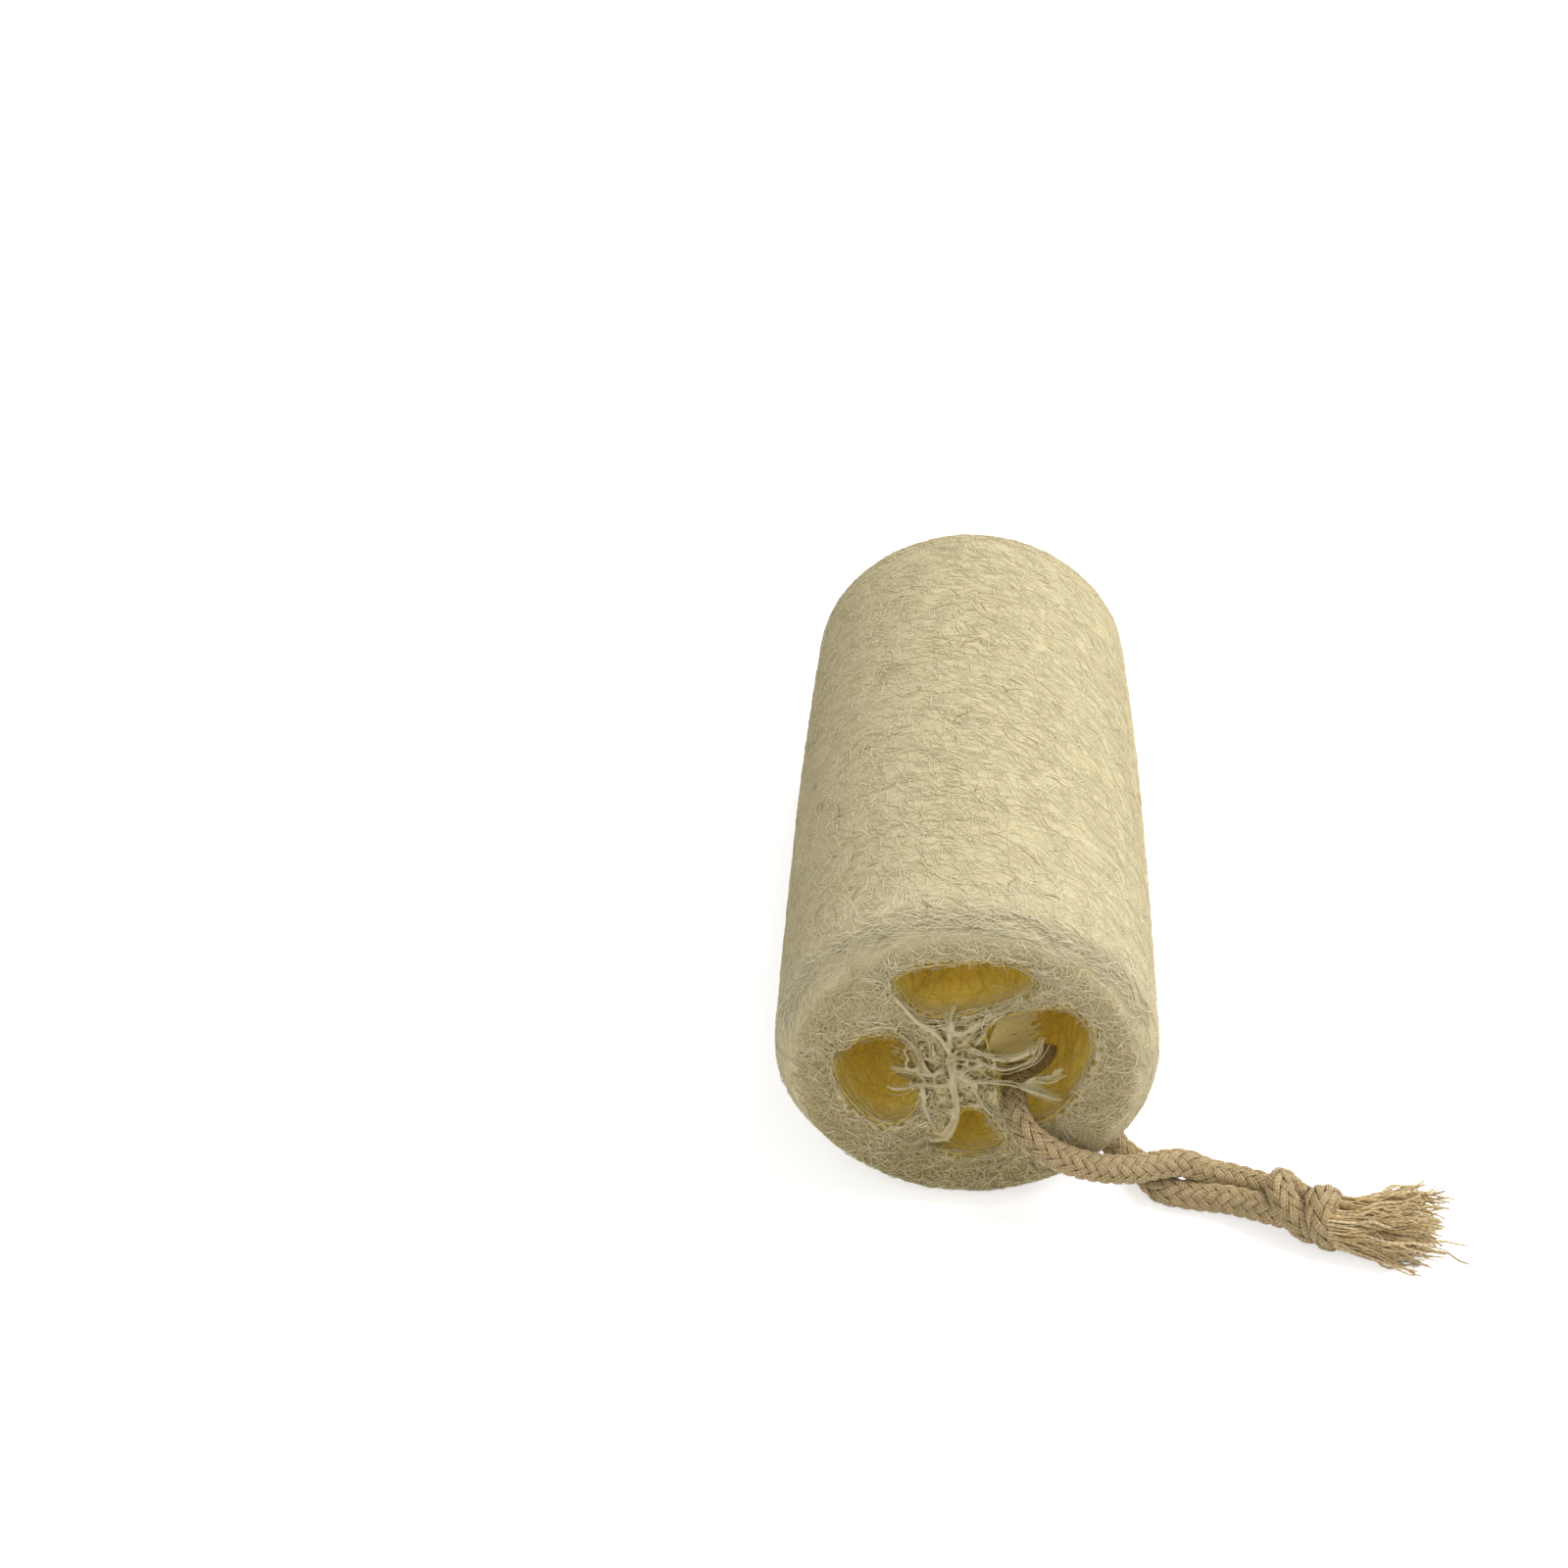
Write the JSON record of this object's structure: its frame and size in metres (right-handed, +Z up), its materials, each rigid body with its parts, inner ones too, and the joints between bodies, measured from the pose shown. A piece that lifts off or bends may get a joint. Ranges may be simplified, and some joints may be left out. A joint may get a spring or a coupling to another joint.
{
  "type": "loofah back scrubber",
  "caption": "Barrel of dried sponge gourd with seed chambers from end to end, and a knotted cotton cord loop through its wall, for scrubbing the back and hanging up to dry.",
  "frame": {"origin": "under the middle of the sponge, on the surface that it lies on", "axes": "+Y along the sponge, away from the end with the cord; +Z up; +X towards the side where the cord lies"},
  "size_m": [0.1176, 0.1713, 0.0588],
  "materials": {
    "loofah_wall": "dry matt plant fibre mat",
    "loofah_core": "dry matt open fibre net",
    "cotton_cord": "soft braided cotton",
    "frayed_cotton": "combed-out cotton yarn"
  },
  "bodies": {
    "sponge": {"sponge_wall": "loofah_wall", "core_web": "loofah_core", "cord_through_wall": "cotton_cord"},
    "loop": {"chamber_strand": "cotton_cord", "outer_strand": "cotton_cord", "overhand_knot": "cotton_cord", "frayed_end_back": "frayed_cotton", "frayed_end_front": "frayed_cotton"}
  },
  "joints": [
    {"name": "loop_swing", "type": "hinge", "parent": "sponge", "child": "loop", "pos_m": [0.0345, -0.072, 0.0053], "axis": [0, 0, 1], "range_deg": [-70, 45]}
  ]
}
